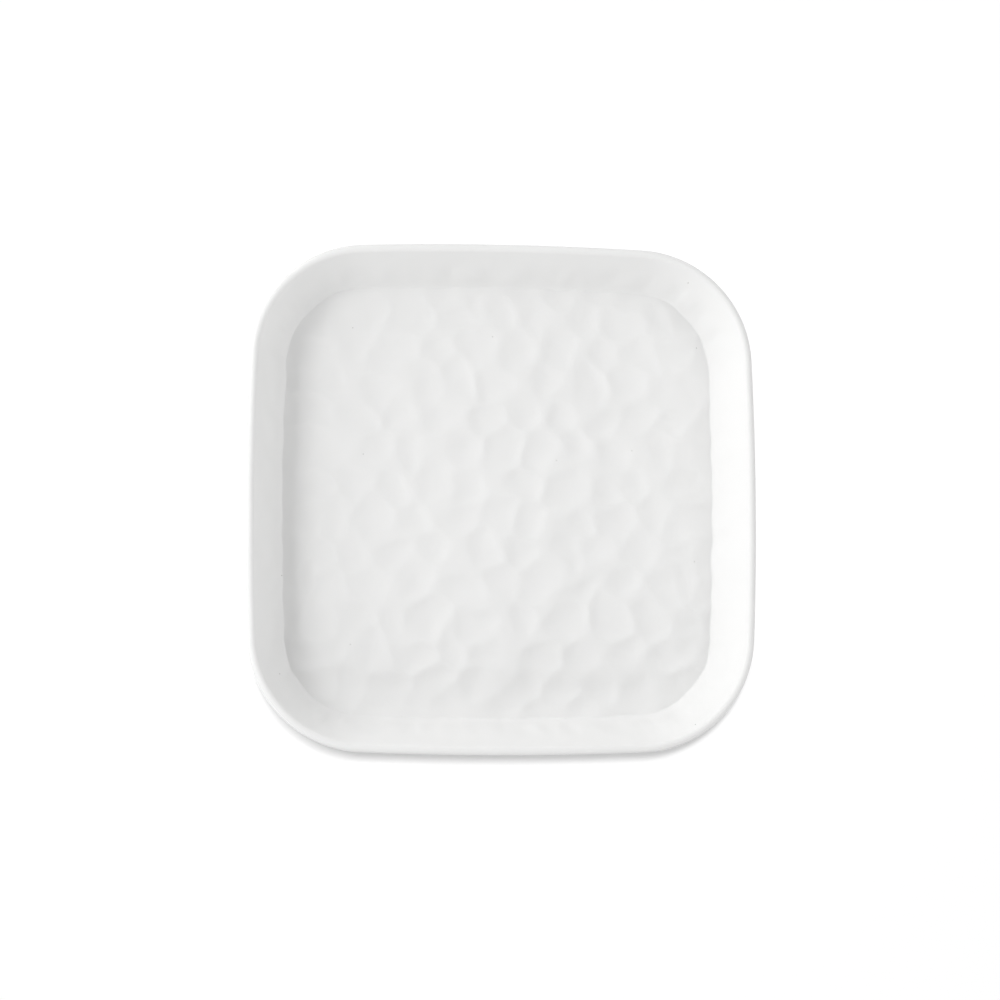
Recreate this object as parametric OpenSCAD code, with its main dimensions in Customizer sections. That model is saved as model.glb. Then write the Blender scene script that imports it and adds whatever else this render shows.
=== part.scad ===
// Square dessert plate with a hammered well, in white glazed porcelain.
// One bisque body carries two coats of glaze, which the bare foot ring keeps apart.
// Frame: +Z up, origin on the table under the plate's centre, millimetres.

/* [Plan] */
// Width of the plate across two opposite sides of its rim
plate_w = 180; // [160:1:230]
// Radius of the rim's corners, seen from above
corner_r = 41; // [36:1:50]
// How far each side bows outwards between its two corners
side_bow = 1; // [0.5:0.1:2]

/* [Section] */
// Height of the rim above the table
plate_h = 22; // [19:0.5:28]
// Thickness of the wall, which ends in a fully rounded lip
wall_t = 3.2; // [2.6:0.1:4]
// Lean of the wall away from upright, in degrees
wall_lean = 32; // [24:1:38]
// Thickness of the floor between its hammer marks
floor_t = 4; // [3.4:0.1:5]
// Radius between the wall and the floor of the well
well_fillet_r = 5; // [2:0.1:6]
// Radius of the heel, where the wall turns under the plate
heel_r = 6; // [4:0.5:7.5]

/* [Foot ring] */
// Height of the foot ring, and so the depth of the recess inside it
foot_h = 2; // [1.6:0.1:3]
// Width of the foot's flat bearing face
foot_w = 2.4; // [1.6:0.1:4]
// Radius of the foot's lower edges
foot_edge_r = 0.6; // [0.4:0.1:0.7]
// Radius where the foot grows out of the base
foot_fillet_r = 1.2; // [0.6:0.1:1.2]
// Slope of the foot's sides, in degrees
foot_draft = 15; // [10:1:25]
// Flat between the heel and the foot's outer fillet
foot_gap = 0.6; // [0.2:0.1:3]

/* [Hammered floor] */
// Spacing of the hammer marks
mark_pitch = 14; // [11:0.5:18]
// Depth of the deepest hammer marks
mark_depth = 0.75; // [0.4:0.05:0.9]
// Share of that depth by which the lightest marks fall short
mark_ease = 0.3; // [0:0.05:0.5]
// Radius of the rounded hammer faces that left the marks, on average
mark_r = 33; // [30:1:40]
// Most by which a hammer face's radius differs from that average
mark_r_spread = 7; // [0:1:8]
// Most that a mark strays from its place in the pattern, in any direction
mark_stray = 3.6; // [0:0.1:4]
// Plain border between the outermost marks and the wall's fillet
mark_border = 0.4; // [0.2:0.1:3]

/* [Glaze] */
// Thickness of the fired glaze
glaze_t = 0.25; // [0.15:0.05:0.4]
// Height to which the foot is wiped bare of glaze
bare_h = 0.8; // [0.5:0.1:1]

/* [Hidden] */
$fn = 180;

// Plan outline: four side arcs and four corner arcs, tangent where they meet
half_w = plate_w / 2;
corner_c = half_w - corner_r - side_bow;
bow_r = (pow(corner_c, 2) + pow(side_bow, 2)) / (2 * side_bow);
meet_angle = asin(corner_c / bow_r);

// Centres of the section's arcs, as [distance out from the rim's edge, height]
lip_r = wall_t / 2;
floor_z = foot_h + floor_t;
wall_in = [-cos(wall_lean), sin(wall_lean)];
wall_down = [-sin(wall_lean), -cos(wall_lean)];
lip_at = [-lip_r, plate_h - lip_r];
function beside_wall(aside, height) =
    let (start = lip_at + aside * wall_in)
    start + (start[1] - height) / cos(wall_lean) * wall_down;
fillet_at = beside_wall(lip_r + well_fillet_r, floor_z + well_fillet_r);
heel_at = beside_wall(heel_r - lip_r, foot_h + heel_r);

// The foot's half section, measured from its middle
edge_x = foot_w / 2;
foot_reach = foot_edge_r + foot_fillet_r + glaze_t;
foot_rise = foot_h - foot_fillet_r - foot_edge_r + foot_reach * sin(foot_draft);
root_x = edge_x + foot_reach * cos(foot_draft) + foot_rise * tan(foot_draft);
foot_x = heel_at[0] - foot_gap - root_x;

// The swept ring stops just short of the corner centres, and a square core laps into it
core_r = 3;
core_lap = 1.5;
ring_in = corner_r - core_r;
core_half = corner_c + side_bow + core_r + core_lap;

// Steps in which arcs are drawn
lip_steps = 16;
turn_steps = 8;
foot_steps = 4;
bow_circle_steps = 1440;
mark_circle_steps = 96;
// Room by which cutting solids pass the surfaces they cut
over = 1;

function arc(at, r, from, to, steps) =
    [for (i = [0:steps])
        let (a = from + (to - from) * i / steps)
        at + r * [cos(a), sin(a)]];

// Section of the plate, taken a depth t under its finished surface
function section(t) = concat(
    [[-ring_in, foot_h + t]],
    arc([foot_x - root_x, foot_h - foot_fillet_r], foot_fillet_r + t, 90, foot_draft, foot_steps),
    arc([foot_x - edge_x, foot_edge_r], foot_edge_r + glaze_t - t, 180 + foot_draft, 270, foot_steps),
    arc([foot_x + edge_x, foot_edge_r], foot_edge_r + glaze_t - t, 270, 360 - foot_draft, foot_steps),
    arc([foot_x + root_x, foot_h - foot_fillet_r], foot_fillet_r + t, 180 - foot_draft, 90, foot_steps),
    arc(heel_at, heel_r - t, -90, -wall_lean, turn_steps),
    arc(lip_at, lip_r - t, -wall_lean, 180 - wall_lean, lip_steps),
    arc(fillet_at, well_fillet_r + t, -wall_lean, -90, turn_steps),
    [[-ring_in, floor_z - t]]
);

// Sweeps a section, drawn with the rim's edge at x = 0, round the plan outline
module swept() {
    left = [corner_c, corner_c];
    right = [corner_c, -corner_c];
    far = corner_r + over;
    left_meet = left + far * [cos(meet_angle), sin(meet_angle)];
    right_meet = right + far * [cos(meet_angle), -sin(meet_angle)];
    next_meet = left + far * [sin(meet_angle), cos(meet_angle)];
    for (quarter = [0:3]) rotate(90 * quarter) {
        intersection() {
            translate(left) rotate_extrude() translate([corner_r, 0]) children();
            wedge([left, left_meet, left + [far, far], next_meet]);
        }
        intersection() {
            translate([corner_c + side_bow, 0]) translate([-bow_r, 0])
                rotate_extrude(start = -2 * meet_angle, angle = 4 * meet_angle, $fn = bow_circle_steps)
                translate([bow_r, 0]) translate([corner_r, 0]) children();
            wedge([left, right, right_meet, left_meet]);
        }
    }
}

module wedge(points) {
    translate([0, 0, -over]) linear_extrude(plate_h + 2 * over) polygon(points);
}

// The plate before its floor is hammered, a depth t under the finished surface
module blank(t) {
    swept() polygon(section(t));
    translate([-core_half, -core_half, foot_h + t])
        cube([2 * core_half, 2 * core_half, floor_t - 2 * t]);
}

// Where the hammers struck: marks in staggered rows, each strayed, as [x, y, depth, face radius]
mark_edge = half_w - side_bow + fillet_at[0] - mark_border;
mark_reach = mark_edge - mark_pitch / 2;
mark_cols = round(2 * mark_reach / mark_pitch);
mark_rows = round(2 * mark_reach / (mark_pitch * sin(60)));
mark_dx = 2 * mark_reach / mark_cols;
mark_dy = 2 * mark_reach / mark_rows;
function toss(row, col, turn) =
    let (s = sin(row * 127.1 + col * 311.7 + turn * 74.7) * 437.585)
    s - floor(s);
function rim_r(depth, radius) = sqrt(depth * (2 * radius - depth));
function within(limit, v) = min(max(v, -limit), limit);
function mark(row, col) =
    let (
        turn = 360 * toss(row, col, 1),
        stray = mark_stray * sqrt(toss(row, col, 2)),
        depth = mark_depth * (1 - mark_ease * toss(row, col, 3)),
        radius = mark_r + mark_r_spread * (2 * toss(row, col, 4) - 1),
        limit = mark_edge - rim_r(depth, radius),
        x = (col - (row % 2) / 2 - mark_cols / 2) * mark_dx + stray * cos(turn),
        y = (row - mark_rows / 2) * mark_dy + stray * sin(turn)
    ) [within(limit, x), within(limit, y), depth, radius];

// A mark is left out where the floor's rounded corner has no room for it
function has_room(m) =
    norm([max(abs(m[0]) - corner_c, 0), max(abs(m[1]) - corner_c, 0)])
    <= corner_r + fillet_at[0] - mark_border - rim_r(m[2], m[3]);

// Neighbouring marks fall in different sets, so that most marks of one set lie apart
function in_set(row, col, set) = (col - ceil(row / 2) - row + 3 * mark_rows) % 3 == set;
function mark_set(set) = [
    for (row = [0:mark_rows], col = [0:mark_cols + row % 2])
        if (in_set(row, col, set) && has_room(mark(row, col))) mark(row, col)];

// Shallow caps of a ball that reach a little above the floor they cut
mark_lift = 0.15;
module marks(t, set) {
    for (m = mark_set(set)) translate([m[0], m[1], floor_z - m[2] + m[3]])
        intersection() {
            sphere(m[3] + t, $fn = mark_circle_steps);
            translate([-mark_pitch, -mark_pitch, -m[3] - over])
                cube([2 * mark_pitch, 2 * mark_pitch, m[2] - t + mark_lift + over]);
        }
}

// The plate with its hammered floor, a depth t under the finished surface
module hammered(t) {
    difference() {
        difference() {
            difference() {
                blank(t);
                marks(t, 0);
            }
            marks(t, 1);
        }
        marks(t, 2);
    }
}

// The space inside the foot's middle line, from a height up to the middle of the floor
module base_zone(low) {
    mid_z = foot_h + floor_t / 2;
    swept() polygon([[-ring_in, low], [foot_x, low], [foot_x, mid_z], [-ring_in, mid_z]]);
    translate([-core_half, -core_half, low]) cube([2 * core_half, 2 * core_half, mid_z - low]);
}

porcelain_white = [0.93, 0.92, 0.90];
glaze_white = [0.97, 0.97, 0.97];

module porcelain_body() { color(porcelain_white) hammered(glaze_t); }

module face_glaze() {
    color(glaze_white) difference() {
        hammered(0);
        hammered(glaze_t);
        base_zone(-over);
        translate([-half_w, -half_w, -2 * over]) cube([plate_w, plate_w, bare_h + 2 * over]);
    }
}

module base_glaze() {
    color(glaze_white) {
        swept() intersection() {
            difference() {
                polygon(section(0));
                polygon(section(glaze_t));
            }
            translate([-ring_in, bare_h]) square([ring_in + foot_x, foot_h]);
        }
        translate([-core_half, -core_half, foot_h]) cube([2 * core_half, 2 * core_half, glaze_t]);
    }
}

porcelain_body();
face_glaze();
base_glaze();
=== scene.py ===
import math

import bpy
import numpy as np
from mathutils import Matrix, Vector
from mathutils.geometry import delaunay_2d_cdt


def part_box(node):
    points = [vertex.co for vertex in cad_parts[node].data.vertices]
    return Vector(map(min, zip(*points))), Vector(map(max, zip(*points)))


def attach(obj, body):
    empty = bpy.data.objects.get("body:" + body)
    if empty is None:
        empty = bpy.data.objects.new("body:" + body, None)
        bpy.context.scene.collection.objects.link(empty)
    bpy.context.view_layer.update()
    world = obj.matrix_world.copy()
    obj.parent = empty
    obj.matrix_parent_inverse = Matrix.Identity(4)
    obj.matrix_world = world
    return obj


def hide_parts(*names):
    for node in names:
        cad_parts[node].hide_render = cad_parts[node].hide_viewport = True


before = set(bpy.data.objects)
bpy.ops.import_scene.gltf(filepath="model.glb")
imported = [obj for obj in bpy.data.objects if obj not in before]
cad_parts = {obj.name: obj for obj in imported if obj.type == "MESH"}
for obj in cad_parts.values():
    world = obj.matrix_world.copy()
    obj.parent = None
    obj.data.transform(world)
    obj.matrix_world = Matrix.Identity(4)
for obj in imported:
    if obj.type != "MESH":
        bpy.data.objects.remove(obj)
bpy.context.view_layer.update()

# The porcelain body: fine white clay, pressed in a mould taken from a hammered model and fired, with
# its floor, wall, lip and foot ring in one piece. It shows only where the foot stands on the table,
# wiped bare of glaze and ground flat so that the plate doesn't rock.
MM = 0.001
half_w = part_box("face_glaze")[1].x
plate_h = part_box("face_glaze")[1].z
corner_r = 41 * MM
side_bow = 1 * MM
wall_t = 3.2 * MM
wall_lean = math.radians(32)
floor_t = 4 * MM
well_fillet_r = 5 * MM
heel_r = 6 * MM
foot_h = 2 * MM
foot_w = 2.4 * MM
foot_edge_r = 0.6 * MM
foot_fillet_r = 1.2 * MM
foot_draft = math.radians(15)
foot_gap = 0.6 * MM
glaze_t = 0.25 * MM

# The outline: four side arcs and four corner arcs, tangent where they meet
corner_c = half_w - corner_r - side_bow
bow_r = (corner_c**2 + side_bow**2) / (2 * side_bow)
meet_angle = math.asin(corner_c / bow_r)
side_steps = 50
corner_steps = 60


def rim_stations():
    """Points round the rim, counter-clockwise from above, and the way outwards at each."""
    sides = (np.array([corner_c + side_bow - bow_r, 0]), bow_r + corner_r,
             np.linspace(-meet_angle, meet_angle, side_steps, endpoint=False))
    corners = (np.array([corner_c, corner_c]), corner_r,
               np.linspace(meet_angle, math.pi / 2 - meet_angle, corner_steps, endpoint=False))
    points, ways = [], []
    for quarter in range(4):
        turn = np.array(Matrix.Rotation(quarter * math.pi / 2, 2)).T
        for middle, radius, angles in (sides, corners):
            way = np.stack([np.cos(angles), np.sin(angles)], axis=1)
            points.append((middle + radius * way) @ turn)
            ways.append(way @ turn)
    return np.concatenate(points), np.concatenate(ways)


rim_points, rim_ways = rim_stations()
around = len(rim_points)
rim_edges = [(k, (k + 1) % around) for k in range(around)]

# The section's arcs have their centres here, as [distance out from the rim's edge, height]
lip_r = wall_t / 2
floor_z = foot_h + floor_t
lip_at = np.array([-lip_r, plate_h - lip_r])


def beside_wall(aside, height):
    """The point at a height on a line that runs along the wall, aside of the lip's centre."""
    start = lip_at + aside * np.array([-math.cos(wall_lean), math.sin(wall_lean)])
    drop = (start[1] - height) / math.cos(wall_lean)
    return start - drop * np.array([math.sin(wall_lean), math.cos(wall_lean)])


fillet_at = beside_wall(lip_r + well_fillet_r, floor_z + well_fillet_r)
heel_at = beside_wall(heel_r - lip_r, foot_h + heel_r)
edge_x = foot_w / 2
foot_reach = foot_edge_r + foot_fillet_r + glaze_t
foot_rise = foot_h - foot_fillet_r - foot_edge_r + foot_reach * math.sin(foot_draft)
root_x = edge_x + foot_reach * math.cos(foot_draft) + foot_rise * math.tan(foot_draft)
root_z = foot_h - foot_fillet_r
foot_x = heel_at[0] - foot_gap - root_x

# Steps in which the section is drawn; the outer surface has twice as many above the foot
fillet_steps = 10
inner_wall_steps = 8
lip_steps = 10
outer_wall_steps = 3
heel_steps = 5
root_steps = 3
foot_edge_steps = 6
base_root_steps = 6


def arc(middle, radius, start, end, steps):
    """Points along an arc of the section."""
    angles = np.linspace(start, end, steps + 1)
    return np.array(middle) + radius * np.stack([np.cos(angles), np.sin(angles)], axis=1)


def between(start, end, steps):
    """Points along a straight stretch of the section, its ends left out."""
    return start + np.arange(1, steps)[:, None] / steps * (end - start)


def upper_section(depth):
    """From the floor's edge up the wall, over the lip and down to the foot, a depth under the surface."""
    fine = 2 if depth == 0 else 1
    fillet = arc(fillet_at, well_fillet_r + depth, -math.pi / 2, -wall_lean, fillet_steps * fine)
    lip = arc(lip_at, lip_r - depth, math.pi - wall_lean, -wall_lean, lip_steps * fine)
    heel = arc(heel_at, heel_r - depth, -wall_lean, -math.pi / 2, heel_steps * fine)
    root = arc([foot_x + root_x, root_z], foot_fillet_r + depth,
               math.pi / 2, math.pi - foot_draft, root_steps * fine)
    inner_wall = between(fillet[-1], lip[0], inner_wall_steps * fine)
    outer_wall = between(lip[-1], heel[0], outer_wall_steps * fine)
    return np.concatenate([fillet, inner_wall, lip, outer_wall, heel, root])


def foot_section(depth):
    """Round the foot's two lower edges."""
    radius = foot_edge_r + glaze_t - depth
    outer = arc([foot_x + edge_x, foot_edge_r], radius,
                -foot_draft, -math.pi / 2, foot_edge_steps)
    inner = arc([foot_x - edge_x, foot_edge_r], radius,
                -math.pi / 2, foot_draft - math.pi, foot_edge_steps)
    return np.concatenate([outer, inner])


def base_section(depth):
    """From the foot's inner side to a little way into the flat of the recess."""
    root = arc([foot_x - root_x, root_z], foot_fillet_r + depth, foot_draft, math.pi / 2, base_root_steps)
    return np.concatenate([root, root[-1:] - [[foot_gap, 0]]])


def way_in(points):
    """How far each point lies inwards from the foot of the wall's fillet, seen from above."""
    past = np.maximum(np.abs(points[:, :2]) - corner_c, 0)
    bow = side_bow - np.min(np.abs(points[:, :2]), axis=1)**2 / (2 * bow_r)
    return corner_r + fillet_at[0] + np.maximum(bow, 0) - np.hypot(past[:, 0], past[:, 1])


def floor_field(step):
    """Points of the floor, those of its edge first, and the triangles between them."""
    edge_room = 0.7 * step
    same_within = 0.01 * MM
    inside_edge = 1
    edge = rim_points + fillet_at[0] * rim_ways
    row_step = step * math.sin(math.pi / 3)
    rows = range(-int(half_w / row_step), int(half_w / row_step) + 1)
    cols = range(-int(half_w / step), int(half_w / step) + 1)
    grid = np.array([((col + row % 2 / 2) * step, row * row_step) for row in rows for col in cols])
    points = np.concatenate([edge, grid[way_in(grid) > edge_room]])
    _, _, triangles, sources, _, _ = delaunay_2d_cdt(
        [Vector(p) for p in points], rim_edges, [], inside_edge, same_within)
    return points, [tuple(sources[corner][0] for corner in triangle) for triangle in triangles]


# The floor is a field of small triangles, close enough to take the hammer marks where it shows
shown_floor = floor_field(step=0.9 * MM)
hidden_floor = floor_field(step=1.8 * MM)


def swept(section):
    """One ring of points for each point of a section."""
    return np.concatenate([np.column_stack([rim_points + out * rim_ways, np.full(around, height)])
                           for out, height in section])


def ring_faces(first, second):
    """Faces between two rings, given by their first points."""
    return [(first + k, second + k, second + n, first + n) for k, n in rim_edges]


def floor_and_wall(section, depth):
    """Points and faces of a skin that starts with the floor and goes on along a section."""
    floor_points, floor_triangles = shown_floor if depth == 0 else hidden_floor
    floor = np.column_stack([floor_points, np.full(len(floor_points), floor_z - depth)])
    points = np.concatenate([floor, swept(section[1:])])
    firsts = [0] + [len(floor) + i * around for i in range(len(section) - 1)]
    faces = list(floor_triangles)
    for first, second in zip(firsts, firsts[1:]):
        faces += ring_faces(first, second)
    return points, faces


# Where the wall's flank, drawn on straight, meets the floor, and the height up to which it is reworked
flank_at = fillet_at[0] + well_fillet_r * math.tan((math.pi / 2 - wall_lean) / 2)
worked_h = 7 * MM


def above_floor(points, depth):
    """How far points in the well lie above its floor, and how far the wall's flank lies above or below
    the floor there. Points elsewhere count as far above."""
    far_above = 1
    slack = 1 * MM
    out = fillet_at[0] - way_in(points)
    rise = points[:, 2] - floor_z + depth
    wall_middle = lip_at[0] - (lip_at[1] - points[:, 2]) * math.tan(wall_lean)
    in_well = (out < wall_middle) & (rise > -slack)
    rise = np.where(in_well, np.maximum(rise, 0), far_above)
    flank = (out - flank_at) / math.tan(wall_lean) - depth * (1 / math.sin(wall_lean) - 1)
    return {"rise": rise, "flank": np.where(rise < worked_h, flank, rise)}


def new_piece(name, points, faces, **values):
    """An object from points and faces, smooth all over, with named values on its points."""
    mesh = bpy.data.meshes.new(name)
    mesh.from_pydata([tuple(p) for p in points], [], faces)
    for key, value in values.items():
        mesh.attributes.new(key, "FLOAT", "POINT").data.foreach_set("value", value)
    mesh.shade_smooth()
    piece = bpy.data.objects.new(name, mesh)
    bpy.context.scene.collection.objects.link(piece)
    return piece


# Where the hammer struck the model: marks in staggered rows, each strayed from its place and longer
# than wide. Around them runs a ring of shallower marks that cross into the foot of the wall.
mark_pitch = 14 * MM
mark_depth = 0.75 * MM
mark_ease = 0.3
mark_r = 33 * MM
mark_r_spread = 7 * MM
mark_stretch = 0.42
mark_lie = math.radians(65)
mark_lie_spread = math.radians(80)
mark_stray = 3.6 * MM
mark_border = 0.4 * MM
outer_mark_share = 0.65
mark_edge = half_w - side_bow + fillet_at[0] - mark_border
mark_reach = mark_edge - mark_pitch / 2
mark_cols = round(2 * mark_reach / mark_pitch)
mark_rows = round(2 * mark_reach / (mark_pitch * math.sin(math.pi / 3)))
mark_dx = 2 * mark_reach / mark_cols
mark_dy = 2 * mark_reach / mark_rows


def toss(row, col, turn):
    """A number from 0 to 1 that looks like chance, by the same rule as in the part's source."""
    return math.sin(math.radians(row * 127.1 + col * 311.7 + turn * 74.7)) * 437.585 % 1


def hammer_mark(row, col):
    """A mark's lowest point, its radius along and across its length, and the way that length lies."""
    turn = 2 * math.pi * toss(row, col, 1)
    stray = mark_stray * math.sqrt(toss(row, col, 2))
    depth = mark_depth * (1 - mark_ease * toss(row, col, 3))
    radius = mark_r + mark_r_spread * (2 * toss(row, col, 4) - 1)
    place = np.array([(col - row % 2 / 2 - mark_cols / 2) * mark_dx, (row - mark_rows / 2) * mark_dy])
    strayed = stray * np.array([math.cos(turn), math.sin(turn)])
    if 0 <= row <= mark_rows and 0 <= col <= mark_cols + row % 2:
        limit = mark_edge - math.sqrt(depth * (2 * radius - depth))
        x, y = np.clip(place + strayed, -limit, limit)
    else:
        depth *= outer_mark_share
        x, y = np.clip(place, -mark_edge, mark_edge) + strayed
    length = 1 + mark_stretch * toss(row, col, 5)
    lies = mark_lie + mark_lie_spread * (2 * toss(row, col, 6) - 1)
    return (x, y, -depth), radius * length, radius / length, lies


marks = [hammer_mark(row, col)
         for row in range(-1, mark_rows + 2)
         for col in range(-1, mark_cols + 2 + row % 2)]
lowest, long_r, cross_r, lie = zip(*marks)
strikes = new_piece("strikes", lowest, [], long_r=long_r, cross_r=cross_r, lie=lie)

# What the blows leave: dents whose outlines wander, low soft ridges between them, and a wall that is
# hollowed at its foot, where it takes up a share of the dents and has faint dips of its own
hammering_sizes = {
    "Wander": 9 * MM,
    "Wander length": 17 * MM,
    "Ridge height": 0.12 * MM,
    "Ridge softness": 0.13 * MM,
    "Hollow": 1 * MM,
    "Hollow reach": 5 * MM,
    "Wall share": 0.25,
    "Wall reach": 13 * MM,
    "Wall dip": 1.1 * MM,
    "Dip height": 5 * MM,
    "Dip reach": 6 * MM,
    "Dip length": 7 * MM,
    "Crease softness": 0.1 * MM,
}


class Wire:
    """A value on its way through a tree of nodes; an operator on it adds a Math node."""

    def __init__(self, tree, socket):
        self.tree = tree
        self.socket = socket

    def other(self, name):
        """Another output of the same node."""
        return Wire(self.tree, self.socket.node.outputs[name])

    def math(self, operation, *values):
        """A Math node on this value and others."""
        return add(self.tree, "ShaderNodeMath", {"operation": operation},
                   dict(enumerate((self, *values))))

    def __add__(self, value):
        return self.math("ADD", value)

    def __sub__(self, value):
        return self.math("SUBTRACT", value)

    def __rsub__(self, value):
        return self * -1 + value

    def __mul__(self, value):
        return self.math("MULTIPLY", value)

    def __truediv__(self, value):
        return self.math("DIVIDE", value)

    def __rtruediv__(self, value):
        return self.math("POWER", -1) * value

    __radd__ = __add__
    __rmul__ = __mul__


def link(value, socket):
    """Leads a value into a socket of a node that is there already."""
    value.tree.links.new(value.socket, socket)


def add(tree, kind, settings, sockets, output=0):
    """A new node with its settings and its sockets' values or links. Returns an output, if it has any."""
    node = tree.nodes.new(kind)
    for name, value in settings.items():
        setattr(node, name, value)
    for key, value in sockets.items():
        if isinstance(value, Wire):
            link(value, node.inputs[key])
        else:
            node.inputs[key].default_value = value
    return Wire(tree, node.outputs[output]) if node.outputs else None


def smooth_step(tree, value, **sockets):
    """A value mapped from one range to another, easing in and out at the ends."""
    named = {name.replace("_", " ").title(): limit for name, limit in sockets.items()}
    return add(tree, "ShaderNodeMapRange", {"interpolation_type": "SMOOTHSTEP"},
               {"Value": value, **named})


def hammering_tree():
    """Nodes that sink a floor under overlapping dents with soft ridges, and work the foot of the wall."""
    tree = bpy.data.node_groups.new("hammering", "GeometryNodeTree")
    kinds = {"Plate": "NodeSocketGeometry", "Strikes": "NodeSocketObject", "Finish": "NodeSocketMaterial"}
    kinds.update({name: "NodeSocketFloat" for name in hammering_sizes})
    for name, kind in kinds.items():
        tree.interface.new_socket(name, in_out="INPUT", socket_type=kind)
    tree.interface.new_socket("Plate", in_out="OUTPUT", socket_type="NodeSocketGeometry")
    given = add(tree, "NodeGroupInput", {}, {}, "Plate")
    softness = given.other("Ridge softness")
    struck = add(tree, "GeometryNodeObjectInfo", {}, {"Object": given.other("Strikes")}, "Geometry")
    count = add(tree, "GeometryNodeAttributeDomainSize", {"component": "MESH"}, {"Geometry": struck})

    # Each point feels the marks from a little aside of where it is, so that their outlines wander
    place = add(tree, "GeometryNodeInputPosition", {}, {})
    noise_middle = (0.5, 0.5, 0.5)
    drift = add(tree, "ShaderNodeTexNoise", {"noise_dimensions": "2D"},
                {"Vector": place, "Scale": 1 / given.other("Wander length"), "Detail": 1}, "Color")
    aside = add(tree, "ShaderNodeVectorMath", {"operation": "SUBTRACT"}, {0: drift, 1: noise_middle})
    wander = add(tree, "ShaderNodeVectorMath", {"operation": "SCALE"},
                 {0: aside, "Scale": given.other("Wander")})
    felt = add(tree, "ShaderNodeVectorMath", {"operation": "ADD"}, {0: place, 1: wander})
    blank = add(tree, "GeometryNodeStoreNamedAttribute", {"domain": "POINT", "data_type": "FLOAT_VECTOR"},
                {"Geometry": given, "Name": "felt", "Value": felt})

    # Each turn of the loop adds one mark to a sum of powers, whose logarithm is the dented floor
    start = add(tree, "GeometryNodeRepeatInput", {}, {}, "Iteration")
    end = add(tree, "GeometryNodeRepeatOutput", {}, {})
    start.socket.node.pair_with_output(end.socket.node)
    link(count, start.socket.node.inputs["Iterations"])
    link(blank, start.socket.node.inputs["Geometry"])
    mark = add(tree, "GeometryNodeSampleIndex", {"data_type": "FLOAT_VECTOR"},
               {"Geometry": struck, "Value": place, "Index": start})
    shape = {}
    for name in ("long_r", "cross_r", "lie"):
        field = add(tree, "GeometryNodeInputNamedAttribute", {}, {"Name": name})
        shape[name] = add(tree, "GeometryNodeSampleIndex", {},
                          {"Geometry": struck, "Value": field, "Index": start})
    low = add(tree, "ShaderNodeSeparateXYZ", {}, {"Vector": mark}, "Z")
    felt_at = add(tree, "GeometryNodeInputNamedAttribute", {"data_type": "FLOAT_VECTOR"},
                  {"Name": "felt"})
    away = add(tree, "ShaderNodeVectorMath", {"operation": "SUBTRACT"}, {0: felt_at, 1: mark})
    turned = add(tree, "ShaderNodeVectorRotate", {"rotation_type": "Z_AXIS"},
                 {"Vector": away, "Angle": shape["lie"] * -1})
    along = add(tree, "ShaderNodeSeparateXYZ", {}, {"Vector": turned}, "X")
    across = along.other("Y")
    height = along * along / (shape["long_r"] * 2) + across * across / (shape["cross_r"] * 2) + low
    sum_so_far = add(tree, "GeometryNodeInputNamedAttribute", {}, {"Name": "dents"})
    dents = sum_so_far + (height / softness * -1).math("EXPONENT")
    kept = add(tree, "GeometryNodeStoreNamedAttribute", {"domain": "POINT"},
               {"Geometry": start.other("Geometry"), "Name": "dents", "Value": dents})
    link(kept, end.socket.node.inputs["Geometry"])
    flat = (given.other("Ridge height") / softness * -1).math("EXPONENT")
    floor = softness * (sum_so_far + flat).math("LOGARITHM", math.e) * -1

    # The wall: hollowed at its foot, with dips that run up it and a share of the floor's dents
    rise = add(tree, "GeometryNodeInputNamedAttribute", {}, {"Name": "rise"})
    flank = add(tree, "GeometryNodeInputNamedAttribute", {}, {"Name": "flank"})
    hollow = flank.math("SMOOTH_MAX", given.other("Hollow") * -1, given.other("Hollow reach"))
    outwards = add(tree, "ShaderNodeVectorMath", {"operation": "MULTIPLY"}, {0: place, 1: (1, 1, 0)})
    bearing = add(tree, "ShaderNodeVectorMath", {"operation": "NORMALIZE"}, {0: outwards})
    swell = add(tree, "ShaderNodeTexNoise", {"noise_dimensions": "2D"},
                {"Vector": bearing, "Scale": half_w / given.other("Dip length"), "Detail": 1})
    noise_low, noise_high = 0.3, 0.7
    wave = smooth_step(tree, swell, from_min=noise_low, from_max=noise_high, to_min=-0.5, to_max=0.5)
    from_dips = (rise - given.other("Dip height")).math("ABSOLUTE")
    fade = smooth_step(tree, from_dips, from_max=given.other("Dip reach"), to_min=1, to_max=0)
    dips = given.other("Wall dip") * fade * wave
    share = smooth_step(tree, rise, from_max=given.other("Wall reach"),
                        to_min=given.other("Wall share"), to_max=0)
    wall = hollow - dips - (given.other("Ridge height") - floor) * share

    # The higher of floor and wall holds, with a soft crease between them
    new_rise = floor.math("SMOOTH_MAX", wall, given.other("Crease softness"))
    offset = add(tree, "ShaderNodeCombineXYZ", {}, {"Z": new_rise - rise})
    plate = add(tree, "GeometryNodeSetPosition", {}, {"Geometry": end, "Offset": offset})
    for name in ("dents", "felt", "rise", "flank"):
        plate = add(tree, "GeometryNodeRemoveAttribute", {}, {"Geometry": plate, "Name": name})
    whole = add(tree, "GeometryNodeRealizeInstances", {}, {"Geometry": plate})
    finished = add(tree, "GeometryNodeSetMaterial", {},
                   {"Geometry": whole, "Material": given.other("Finish")})
    add(tree, "NodeGroupOutput", {}, {"Plate": finished})
    return tree


hammering = hammering_tree()


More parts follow.
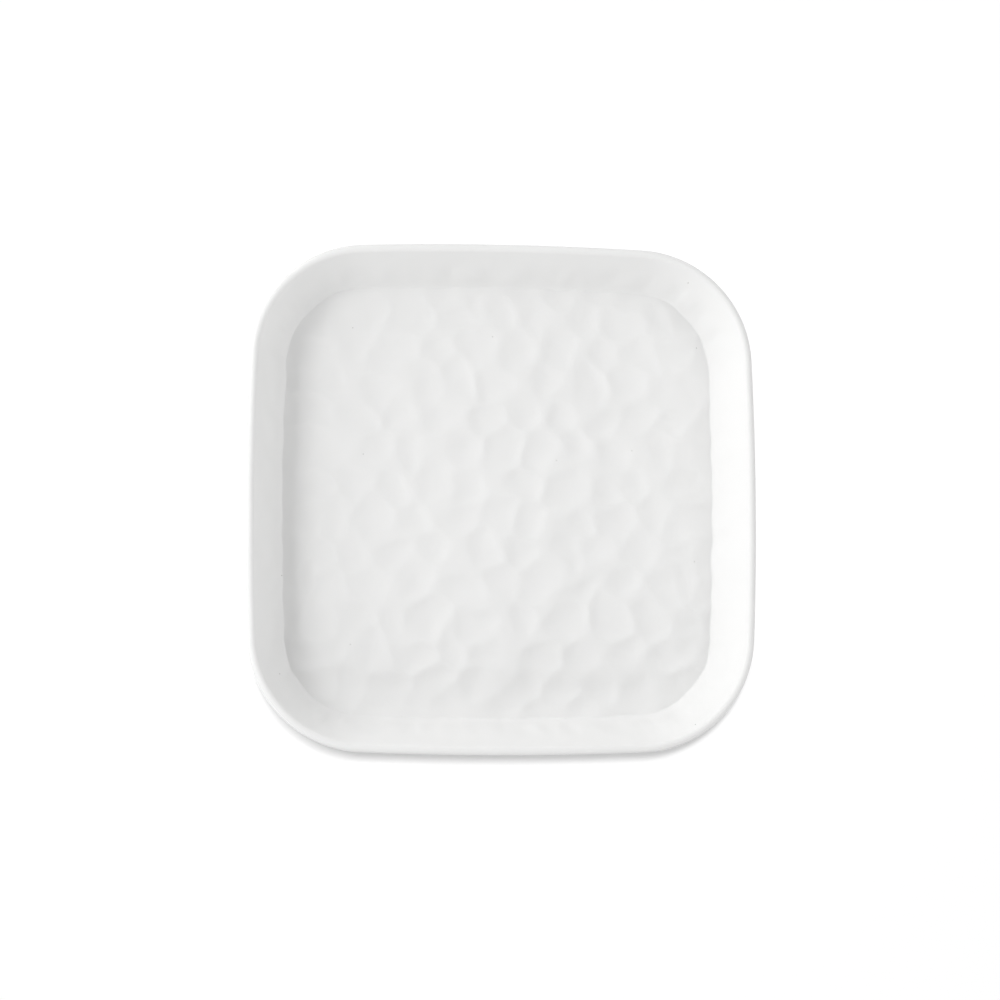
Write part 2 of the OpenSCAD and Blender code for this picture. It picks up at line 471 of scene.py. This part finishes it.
def hammered(piece, finish):
    """Hammers a piece's floor, gives the piece its finish and leaves it a plain mesh."""
    modifier = piece.modifiers.new("hammering", "NODES")
    modifier.node_group = hammering
    values = {"Strikes": strikes, "Finish": finish, **hammering_sizes}
    for item in hammering.interface.items_tree:
        if item.in_out == "INPUT" and item.name in values:
            modifier[item.identifier] = values[item.name]
    evaluated = piece.evaluated_get(bpy.context.evaluated_depsgraph_get())
    mesh = bpy.data.meshes.new_from_object(evaluated)
    piece.modifiers.remove(modifier)
    plain = piece.data
    piece.data = mesh
    bpy.data.meshes.remove(plain)
    mesh.name = piece.name


def new_finish(name):
    """A material with its tree and its shader node."""
    finish = bpy.data.materials.new(name)
    finish.use_nodes = True
    tree = finish.node_tree
    return finish, tree, tree.nodes["Principled BSDF"]


def noise(tree, place, size, detail):
    """Smooth noise around 0.5, with features about as long as size."""
    return add(tree, "ShaderNodeTexNoise", {},
               {"Vector": place, "Scale": 1 / size, "Detail": detail, "Roughness": 0.5})


def blend(tree, share, first, second):
    """A colour between two others."""
    return add(tree, "ShaderNodeMix", {"data_type": "RGBA"}, {0: share, 6: first, 7: second}, 2)


def bisque_finish():
    """Bare fired clay: warm white, matt, with a fine grain and grey rub marks from the table."""
    finish, tree, shader = new_finish("bisque")
    clay = (0.80, 0.77, 0.72, 1)
    worn = (0.52, 0.50, 0.47, 1)
    grain_size = 0.35 * MM
    grain_relief = 0.05 * MM
    grain_stain = 0.12
    rub_size = 6 * MM
    rub_from, rub_to = 0.55, 0.75
    most_rub = 0.5
    matt = 0.66
    grain_matt = 0.2
    rub_polish = 0.15
    place = add(tree, "ShaderNodeTexCoord", {}, {}, "Object")
    grain = noise(tree, place, grain_size, detail=4)
    rubbed = noise(tree, place, rub_size, detail=3)
    rub = smooth_step(tree, rubbed, from_min=rub_from, from_max=rub_to, to_max=most_rub)
    link(blend(tree, rub + grain * grain_stain, clay, worn), shader.inputs["Base Color"])
    link(matt + grain * grain_matt - rub * rub_polish, shader.inputs["Roughness"])
    bump = add(tree, "ShaderNodeBump", {},
               {"Strength": 0.4, "Distance": grain_relief, "Height": grain}, "Normal")
    link(bump, shader.inputs["Normal"])
    return finish


body_section = np.concatenate([upper_section(glaze_t), foot_section(glaze_t), base_section(glaze_t)])
body_points, body_faces = floor_and_wall(body_section, glaze_t)
recess_flat = tuple(range(len(body_points) - 1, len(body_points) - around - 1, -1))
body_faces.append(recess_flat)
porcelain_body = new_piece("bisque_body", body_points, body_faces, **above_floor(body_points, glaze_t))
hammered(porcelain_body, bisque_finish())
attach(porcelain_body, "root")
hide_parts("porcelain_body")

# The face glaze: a coat of glossy white glass, poured over the face, the lip and the outside and
# fired on. It runs into the hammer marks, softens every edge and ends in a line round the foot.
bare_h = 0.8 * MM


def glaze_finish():
    """White glaze: glossy, faintly uneven in tone and gloss, with a few pinholes, sunk by the bump and
    painted dark as the shade inside them.
    """
    finish, tree, shader = new_finish("white_glaze")
    white = (0.84, 0.84, 0.835, 1)
    thin = (0.815, 0.815, 0.81, 1)
    # painted shade: this dark colour stands for the shade inside the tiny pits of the pinholes
    pinhole_shade = (0.34, 0.33, 0.32, 1)
    pin_spacing = 24 * MM
    pin_r = 0.22 * MM
    pin_bottom_r = 0.4 * pin_r
    pin_depth = 2
    places_without_pin = 0.72
    pin_dullness = 0.3
    drift_size = 22 * MM
    peel_size = 3 * MM
    peel_relief = 0.02 * MM
    smooth = 0.13
    drift_dullness = 0.08
    place = add(tree, "ShaderNodeTexCoord", {}, {}, "Object")
    cell = add(tree, "ShaderNodeTexVoronoi", {"voronoi_dimensions": "2D"},
               {"Vector": place, "Scale": 1 / pin_spacing})
    chance = add(tree, "ShaderNodeSeparateColor", {}, {"Color": cell.other("Color")}, "Red")
    round_pin = smooth_step(tree, cell, from_min=pin_r / pin_spacing, from_max=pin_bottom_r / pin_spacing)
    # The pinholes' mask: it sinks the pits in the bump, dulls them and lays the painted shade in them
    pinhole_pit_and_shade = round_pin * chance.math("GREATER_THAN", places_without_pin)
    drift = noise(tree, place, drift_size, detail=3)
    peel = noise(tree, place, peel_size, detail=2)
    tone = blend(tree, drift, white, thin)
    # painted shade: the pinholes' dark colour is laid over the glaze's tone here
    link(blend(tree, pinhole_pit_and_shade, tone, pinhole_shade), shader.inputs["Base Color"])
    link(smooth + drift * drift_dullness + pinhole_pit_and_shade * pin_dullness, shader.inputs["Roughness"])
    bump = add(tree, "ShaderNodeBump", {},
               {"Strength": 0.5, "Distance": peel_relief, "Height": peel - pinhole_pit_and_shade * pin_depth}, "Normal")
    link(bump, shader.inputs["Normal"])
    return finish


def down_to_line(section, foot):
    """A section cut off at the glaze line on the foot's side, just before the foot's edge."""
    share = (section[-1][1] - bare_h) / (section[-1][1] - foot[1])
    return np.concatenate([section, [section[-1] + share * (foot - section[-1])]])


def coat(upper, lower):
    """A closed coat of glaze between an upper and a lower skin, joined along their last rings."""
    points = np.concatenate([upper[0], lower[0]])
    count = len(upper[0])
    faces = upper[1] + [tuple(count + i for i in reversed(face)) for face in lower[1]]
    return points, faces + ring_faces(count - around, len(points) - around)


def face_skin(depth):
    """Points and faces of the floor, the wall, the lip and the outside, down to the glaze line."""
    return floor_and_wall(down_to_line(upper_section(depth), foot_section(depth)[0]), depth)


white_glaze = glaze_finish()
shown_skin, hidden_skin = face_skin(0), face_skin(glaze_t)
shown_rise, hidden_rise = above_floor(shown_skin[0], 0), above_floor(hidden_skin[0], glaze_t)
face_rise = {key: np.concatenate([shown_rise[key], hidden_rise[key]]) for key in shown_rise}
face_glaze = new_piece("glazed_face", *coat(shown_skin, hidden_skin), **face_rise)
hammered(face_glaze, white_glaze)
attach(face_glaze, "root")
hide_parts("face_glaze")
bpy.data.objects.remove(strikes)

# The base glaze: a coat of the same glaze in the recess inside the foot ring, fired on with the rest.
# It is flat, and turns down the foot's inner side as far as the line where the foot was wiped.


def base_skin(depth):
    """Points and faces of the recess, from a flat that closes it out to the glaze line on the foot."""
    section = down_to_line(base_section(depth)[::-1], foot_section(depth)[-1])
    faces = [tuple(range(around))]
    for i in range(len(section) - 1):
        faces += ring_faces(i * around, (i + 1) * around)
    return swept(section), faces


base_glaze = new_piece("glazed_base", *coat(base_skin(glaze_t), base_skin(0)))
base_glaze.data.materials.append(white_glaze)
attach(base_glaze, "root")
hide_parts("base_glaze")

# The studio: a white table in a white room, with soft boxes round the plate, thin strips that are
# mirrored in its glaze, and a lamp over the table alone, for the plate's thin shadow. The camera
# stands almost straight above, leaning a little to the left and to the front.
table_half = 3.0
table_white = (0.88, 0.88, 0.88, 1)
table_shade = (0.45, 0.45, 0.45, 1)
table_glow = 0.24
room_light = (0.32, 0.32, 0.32, 1)
black = (0, 0, 0, 1)
white = (1, 1, 1, 1)


def seen_directly(tree):
    """1 for what the camera sees, also mirrored or through glass, and 0 for light that spreads."""
    ray = add(tree, "ShaderNodeLightPath", {}, {}, "Is Camera Ray")
    seen = ray.math("MAXIMUM", ray.other("Is Glossy Ray"))
    return seen.math("MAXIMUM", ray.other("Is Transmission Ray"))


# The table throws back less light on the plate than it shows to the camera
table_corners = [(-table_half, -table_half, 0), (table_half, -table_half, 0),
                 (table_half, table_half, 0), (-table_half, table_half, 0)]
table = new_piece("table", table_corners, [(0, 1, 2, 3)])
table_top, tree, shader = new_finish("table_top")
link(blend(tree, seen_directly(tree), table_shade, table_white), shader.inputs["Base Color"])
shader.inputs["Roughness"].default_value = 0.9
shader.inputs["Specular IOR Level"].default_value = 0
shader.inputs["Emission Strength"].default_value = table_glow
link(blend(tree, seen_directly(tree), black, white), shader.inputs["Emission Color"])
table.data.materials.append(table_top)

room = bpy.data.worlds.new("room")
room.use_nodes = True
bpy.context.scene.world = room
tree = room.node_tree
link(blend(tree, seen_directly(tree), room_light, white), tree.nodes["Background"].inputs["Color"])


def lit(name, objects):
    """The objects that a soft box lights."""
    group = bpy.data.collections.new(name)
    for thing in objects:
        group.objects.link(thing)
    return group


plate_group = lit("plate", (porcelain_body, face_glaze, base_glaze))
table_group = lit("table", (table,))


def soft_box(name, bearing, height, size, watts, mirrored=False, distance=1.4, group=plate_group):
    """A soft box that faces the plate from a bearing and a height in degrees."""
    lamp = bpy.data.lights.new(name, "AREA")
    lamp.shape = "RECTANGLE"
    lamp.size, lamp.size_y = size
    lamp.energy = watts
    turn, climb = math.radians(bearing), math.radians(height)
    way = Vector((math.cos(turn) * math.cos(climb), math.sin(turn) * math.cos(climb), math.sin(climb)))
    box = bpy.data.objects.new(name, lamp)
    box.location = distance * way
    box.rotation_euler = way.to_track_quat("Z", "Y").to_euler()
    box.visible_glossy = mirrored
    box.light_linking.receiver_collection = group
    bpy.context.scene.collection.objects.link(box)


soft_box("key", bearing=174, height=40, size=(0.9, 0.3), watts=7.3)
soft_box("left_low", bearing=175, height=18, size=(1.2, 0.8), watts=6.1)
soft_box("back_left", bearing=130, height=18, size=(0.9, 0.8), watts=3.5)
soft_box("front_low", bearing=270, height=18, size=(2.2, 0.8), watts=8)
soft_box("right_high", bearing=25, height=48, size=(1.8, 0.9), watts=7.6)
soft_box("right_strip", bearing=0, height=10, size=(1.4, 0.1), watts=1.3, mirrored=True)
soft_box("back_right_strip", bearing=45, height=12, size=(1.2, 0.1), watts=0.9, mirrored=True)
soft_box("back_left_strip", bearing=135, height=12, size=(1.2, 0.1), watts=1, mirrored=True)
soft_box("table_lamp", bearing=139, height=82.2, size=(1, 0.5), watts=140, distance=5, group=table_group)

camera = bpy.data.cameras.new("camera")
camera.lens = 92.55
camera.sensor_width = 36
camera_distance = 0.9
lean_left = math.radians(5.9)
lean_front = math.radians(5.8)
aim = Vector((-1.3 * MM, -1.05 * MM, plate_h))
back = Vector((-math.tan(lean_left), -math.tan(lean_front), 1)).normalized()
up = (Vector((0, 1, 0)) - back.y * back).normalized()
eye = bpy.data.objects.new("camera", camera)
eye.matrix_world = Matrix.LocRotScale(
    aim + camera_distance * back, Matrix((up.cross(back), up, back)).transposed(), None)
bpy.context.scene.collection.objects.link(eye)
bpy.context.scene.camera = eye
bpy.context.scene.view_settings.view_transform = "Standard"
